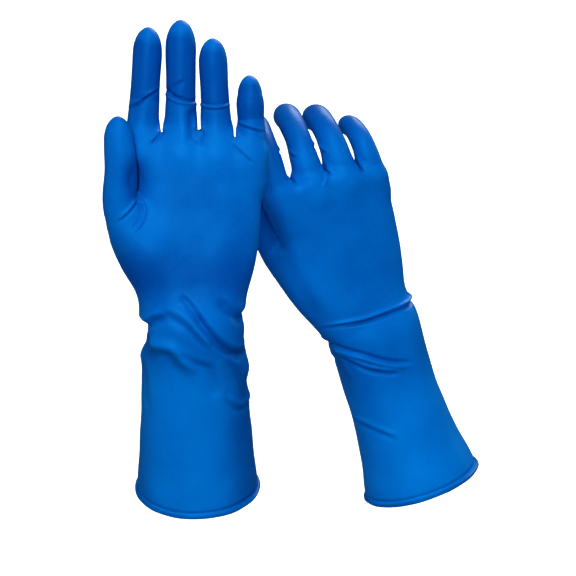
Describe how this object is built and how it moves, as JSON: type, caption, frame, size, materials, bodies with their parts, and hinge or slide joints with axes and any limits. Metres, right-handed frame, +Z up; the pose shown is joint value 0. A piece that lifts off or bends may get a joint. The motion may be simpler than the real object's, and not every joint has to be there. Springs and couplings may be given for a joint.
{
  "type": "rubber gloves",
  "caption": "Pair of long-cuff rubber gloves in the shape they take when worn, with hollow cuffs, hands and finger stalls.",
  "frame": {"origin": "centre of the left glove's cuff opening, in the plane of its rolled edge", "axes": "+Z up the left cuff from its opening towards the fingers; the left glove shows its palm to -Y and the right glove its back; the right glove stands to +X"},
  "size_m": [0.2387, 0.1839, 0.3355],
  "materials": {
    "latex_skin": "satin blue latex, thin and slightly translucent, fine powdery matt surface with soft folds",
    "rolled_bead": "satin blue latex rolled into a thin bead, a little darker"
  },
  "bodies": {
    "left_cuff": {"left_rolled_bead": "rolled_bead", "left_cuff": "latex_skin"},
    "left_hand": {"left_hand": "latex_skin"},
    "left_thumb_lower": {"left_thumb_lower": "latex_skin"},
    "left_thumb_tip": {"left_thumb_tip": "latex_skin"},
    "left_index_lower": {"left_index_lower": "latex_skin"},
    "left_index_middle": {"left_index_middle": "latex_skin"},
    "left_index_tip": {"left_index_tip": "latex_skin"},
    "left_middle_lower": {"left_middle_lower": "latex_skin"},
    "left_middle_middle": {"left_middle_middle": "latex_skin"},
    "left_middle_tip": {"left_middle_tip": "latex_skin"},
    "left_ring_lower": {"left_ring_lower": "latex_skin"},
    "left_ring_middle": {"left_ring_middle": "latex_skin"},
    "left_ring_tip": {"left_ring_tip": "latex_skin"},
    "left_little_lower": {"left_little_lower": "latex_skin"},
    "left_little_middle": {"left_little_middle": "latex_skin"},
    "left_little_tip": {"left_little_tip": "latex_skin"},
    "right_cuff": {"right_rolled_bead": "rolled_bead", "right_cuff": "latex_skin"},
    "right_hand": {"right_hand": "latex_skin"},
    "right_thumb_lower": {"right_thumb_lower": "latex_skin"},
    "right_thumb_tip": {"right_thumb_tip": "latex_skin"},
    "right_index_lower": {"right_index_lower": "latex_skin"},
    "right_index_middle": {"right_index_middle": "latex_skin"},
    "right_index_tip": {"right_index_tip": "latex_skin"},
    "right_middle_lower": {"right_middle_lower": "latex_skin"},
    "right_middle_middle": {"right_middle_middle": "latex_skin"},
    "right_middle_tip": {"right_middle_tip": "latex_skin"},
    "right_ring_lower": {"right_ring_lower": "latex_skin"},
    "right_ring_middle": {"right_ring_middle": "latex_skin"},
    "right_ring_tip": {"right_ring_tip": "latex_skin"},
    "right_little_lower": {"right_little_lower": "latex_skin"},
    "right_little_middle": {"right_little_middle": "latex_skin"},
    "right_little_tip": {"right_little_tip": "latex_skin"}
  },
  "joints": [
    {"name": "left_wrist", "type": "hinge", "parent": "left_cuff", "child": "left_hand", "pos_m": [-0.0012, 0, 0.12], "axis": [1, 0, 0], "range_deg": [-15, 60], "stiffness_Nm_per_rad": 0.2},
    {"name": "left_thumb_root", "type": "hinge", "parent": "left_hand", "child": "left_thumb_lower", "pos_m": [-0.0442, 0.0136, 0.18569], "axis": [-0.862, -0.4947, 0.1103], "range_deg": [-36, 14], "stiffness_Nm_per_rad": 0.02},
    {"name": "left_thumb_middle", "type": "hinge", "parent": "left_thumb_lower", "child": "left_thumb_tip", "pos_m": [-0.04669, 0.02329, 0.20969], "axis": [-0.862, -0.4947, 0.1103], "range_deg": [-50, 0], "stiffness_Nm_per_rad": 0.02},
    {"name": "left_index_root", "type": "hinge", "parent": "left_hand", "child": "left_index_lower", "pos_m": [-0.0314, 0.03929, 0.22331], "axis": [1, 0, 0], "range_deg": [0, 70], "stiffness_Nm_per_rad": 0.02},
    {"name": "left_index_middle", "type": "hinge", "parent": "left_index_lower", "child": "left_index_middle", "pos_m": [-0.02967, 0.04771, 0.24416], "axis": [1, 0, 0], "range_deg": [0, 80], "stiffness_Nm_per_rad": 0.02},
    {"name": "left_index_tip", "type": "hinge", "parent": "left_index_middle", "child": "left_index_tip", "pos_m": [-0.02806, 0.05553, 0.26351], "axis": [1, 0, 0], "range_deg": [0, 48], "stiffness_Nm_per_rad": 0.02},
    {"name": "left_middle_root", "type": "hinge", "parent": "left_hand", "child": "left_middle_lower", "pos_m": [-0.0079, 0.03921, 0.22333], "axis": [1, 0, 0], "range_deg": [0, 70], "stiffness_Nm_per_rad": 0.02},
    {"name": "left_middle_middle", "type": "hinge", "parent": "left_middle_lower", "child": "left_middle_middle", "pos_m": [-0.0079, 0.04821, 0.2456], "axis": [1, 0, 0], "range_deg": [0, 80], "stiffness_Nm_per_rad": 0.02},
    {"name": "left_middle_tip", "type": "hinge", "parent": "left_middle_middle", "child": "left_middle_tip", "pos_m": [-0.0079, 0.05655, 0.26625], "axis": [1, 0, 0], "range_deg": [0, 48], "stiffness_Nm_per_rad": 0.02},
    {"name": "left_ring_root", "type": "hinge", "parent": "left_hand", "child": "left_ring_lower", "pos_m": [0.0134, 0.03924, 0.22312], "axis": [1, 0, 0], "range_deg": [0, 70], "stiffness_Nm_per_rad": 0.02},
    {"name": "left_ring_middle", "type": "hinge", "parent": "left_ring_lower", "child": "left_ring_middle", "pos_m": [0.01259, 0.04684, 0.24195], "axis": [1, 0, 0], "range_deg": [0, 80], "stiffness_Nm_per_rad": 0.02},
    {"name": "left_ring_tip", "type": "hinge", "parent": "left_ring_middle", "child": "left_ring_tip", "pos_m": [0.01183, 0.0539, 0.25941], "axis": [1, 0, 0], "range_deg": [0, 48], "stiffness_Nm_per_rad": 0.02},
    {"name": "left_little_root", "type": "hinge", "parent": "left_hand", "child": "left_little_lower", "pos_m": [0.0348, 0.03776, 0.21892], "axis": [1, 0, 0], "range_deg": [0, 70], "stiffness_Nm_per_rad": 0.02},
    {"name": "left_little_middle", "type": "hinge", "parent": "left_little_lower", "child": "left_little_middle", "pos_m": [0.0343, 0.04313, 0.23222], "axis": [1, 0, 0], "range_deg": [0, 80], "stiffness_Nm_per_rad": 0.02},
    {"name": "left_little_tip", "type": "hinge", "parent": "left_little_middle", "child": "left_little_tip", "pos_m": [0.03383, 0.04811, 0.24456], "axis": [1, 0, 0], "range_deg": [0, 48], "stiffness_Nm_per_rad": 0.02},
    {"name": "right_wrist", "type": "hinge", "parent": "right_cuff", "child": "right_hand", "pos_m": [0.10971, 0.08619, 0.06971], "axis": [-0.891, -0.3628, -0.2728], "range_deg": [-29, 46], "stiffness_Nm_per_rad": 0.2},
    {"name": "right_thumb_root", "type": "hinge", "parent": "right_hand", "child": "right_thumb_lower", "pos_m": [0.04723, 0.08399, 0.1191], "axis": [0.9108, -0.15, 0.3846], "range_deg": [-34, 16], "stiffness_Nm_per_rad": 0.02},
    {"name": "right_thumb_middle", "type": "hinge", "parent": "right_thumb_lower", "child": "right_thumb_tip", "pos_m": [0.03724, 0.08486, 0.14308], "axis": [0.9108, -0.15, 0.3846], "range_deg": [-42, 8], "stiffness_Nm_per_rad": 0.02},
    {"name": "right_index_root", "type": "hinge", "parent": "right_hand", "child": "right_index_lower", "pos_m": [0.04832, 0.08109, 0.16631], "axis": [-0.891, -0.3628, -0.2728], "range_deg": [-26, 44], "stiffness_Nm_per_rad": 0.02},
    {"name": "right_index_middle", "type": "hinge", "parent": "right_index_lower", "child": "right_index_middle", "pos_m": [0.04185, 0.09207, 0.18492], "axis": [-0.891, -0.3628, -0.2728], "range_deg": [-40, 40], "stiffness_Nm_per_rad": 0.02},
    {"name": "right_index_tip", "type": "hinge", "parent": "right_index_middle", "child": "right_index_tip", "pos_m": [0.03564, 0.11108, 0.19111], "axis": [-0.891, -0.3628, -0.2728], "range_deg": [-24, 24], "stiffness_Nm_per_rad": 0.02},
    {"name": "right_middle_root", "type": "hinge", "parent": "right_hand", "child": "right_middle_lower", "pos_m": [0.06923, 0.08968, 0.17271], "axis": [-0.891, -0.3628, -0.2728], "range_deg": [-30, 40], "stiffness_Nm_per_rad": 0.02},
    {"name": "right_middle_middle", "type": "hinge", "parent": "right_middle_lower", "child": "right_middle_middle", "pos_m": [0.06037, 0.10214, 0.19122], "axis": [-0.891, -0.3628, -0.2728], "range_deg": [-45, 35], "stiffness_Nm_per_rad": 0.02},
    {"name": "right_middle_tip", "type": "hinge", "parent": "right_middle_middle", "child": "right_middle_tip", "pos_m": [0.05279, 0.12289, 0.19409], "axis": [-0.891, -0.3628, -0.2728], "range_deg": [-27, 21], "stiffness_Nm_per_rad": 0.02},
    {"name": "right_ring_root", "type": "hinge", "parent": "right_hand", "child": "right_ring_lower", "pos_m": [0.0883, 0.09731, 0.17836], "axis": [-0.891, -0.3628, -0.2728], "range_deg": [-34, 36], "stiffness_Nm_per_rad": 0.02},
    {"name": "right_ring_middle", "type": "hinge", "parent": "right_ring_lower", "child": "right_ring_middle", "pos_m": [0.07956, 0.10855, 0.19285], "axis": [-0.891, -0.3628, -0.2728], "range_deg": [-45, 35], "stiffness_Nm_per_rad": 0.02},
    {"name": "right_ring_tip", "type": "hinge", "parent": "right_ring_middle", "child": "right_ring_tip", "pos_m": [0.07246, 0.12599, 0.19373], "axis": [-0.891, -0.3628, -0.2728], "range_deg": [-27, 21], "stiffness_Nm_per_rad": 0.02},
    {"name": "right_little_root", "type": "hinge", "parent": "right_hand", "child": "right_little_lower", "pos_m": [0.1088, 0.10474, 0.17999], "axis": [-0.891, -0.3628, -0.2728], "range_deg": [-36, 34], "stiffness_Nm_per_rad": 0.02},
    {"name": "right_little_middle", "type": "hinge", "parent": "right_little_lower", "child": "right_little_middle", "pos_m": [0.10133, 0.1125, 0.18947], "axis": [-0.891, -0.3628, -0.2728], "range_deg": [-45, 35], "stiffness_Nm_per_rad": 0.02},
    {"name": "right_little_tip", "type": "hinge", "parent": "right_little_middle", "child": "right_little_tip", "pos_m": [0.09526, 0.12435, 0.18928], "axis": [-0.891, -0.3628, -0.2728], "range_deg": [-27, 21], "stiffness_Nm_per_rad": 0.02},
    {"name": "gloves_apart", "type": "slide", "parent": "left_cuff", "child": "right_cuff", "axis": [1, 0, 0], "range_m": [0, 0.15]}
  ],
  "couplings": [
    {"joint": "left_index_tip", "follows": "left_index_middle", "ratio": 0.6},
    {"joint": "left_middle_tip", "follows": "left_middle_middle", "ratio": 0.6},
    {"joint": "left_ring_tip", "follows": "left_ring_middle", "ratio": 0.6},
    {"joint": "left_little_tip", "follows": "left_little_middle", "ratio": 0.6},
    {"joint": "right_index_tip", "follows": "right_index_middle", "ratio": 0.6},
    {"joint": "right_middle_tip", "follows": "right_middle_middle", "ratio": 0.6},
    {"joint": "right_ring_tip", "follows": "right_ring_middle", "ratio": 0.6},
    {"joint": "right_little_tip", "follows": "right_little_middle", "ratio": 0.6}
  ]
}
